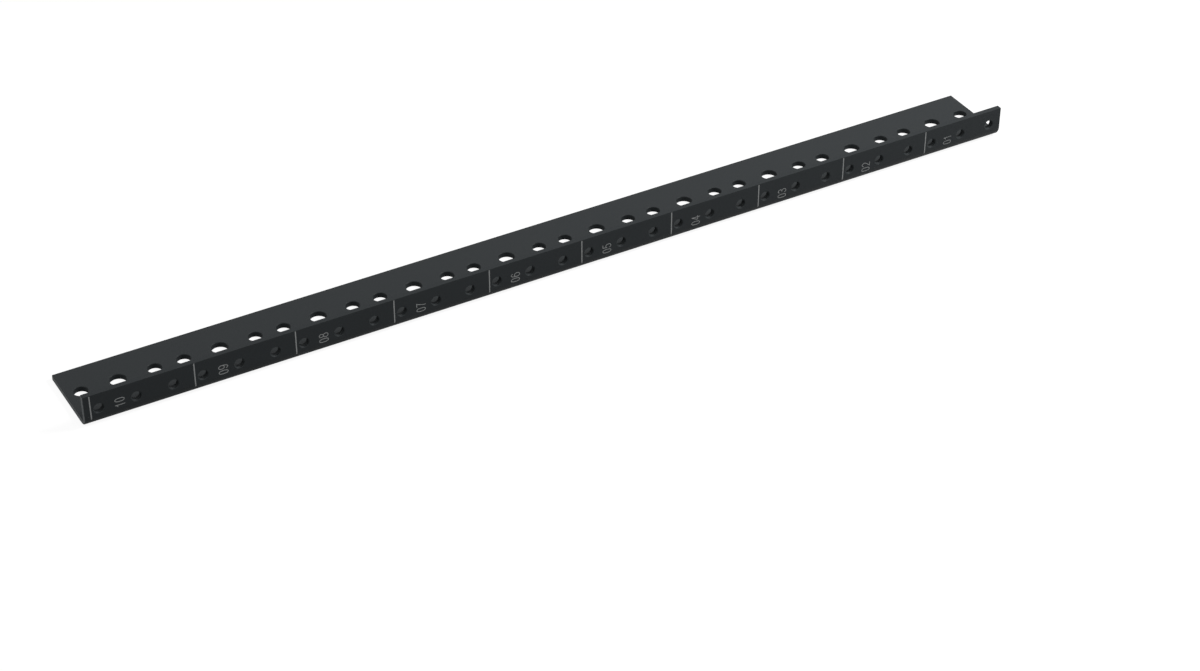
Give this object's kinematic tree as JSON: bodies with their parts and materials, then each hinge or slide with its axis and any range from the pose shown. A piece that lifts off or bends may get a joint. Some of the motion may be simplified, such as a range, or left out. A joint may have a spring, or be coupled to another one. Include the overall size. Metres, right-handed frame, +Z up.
{
  "type": "rack mounting rail",
  "caption": "Black folded steel angle strip with rack-spaced tapped holes in its narrow leg, plain fixing holes in its wide leg and printed unit numbers.",
  "frame": {"origin": "middle of the rail's footprint, on the underside of the wide leg", "axes": "+X along the rail towards its unit 01 end, +Y from the tapped leg's front face to the wide leg's back edge, +Z up the tapped leg"},
  "size_m": [0.4444, 0.0376, 0.0154],
  "materials": {
    "black_coated_steel": "satin black coating on folded sheet steel"
  },
  "bodies": {
    "root": {"rack_rail": "black_coated_steel"}
  },
  "joints": []
}
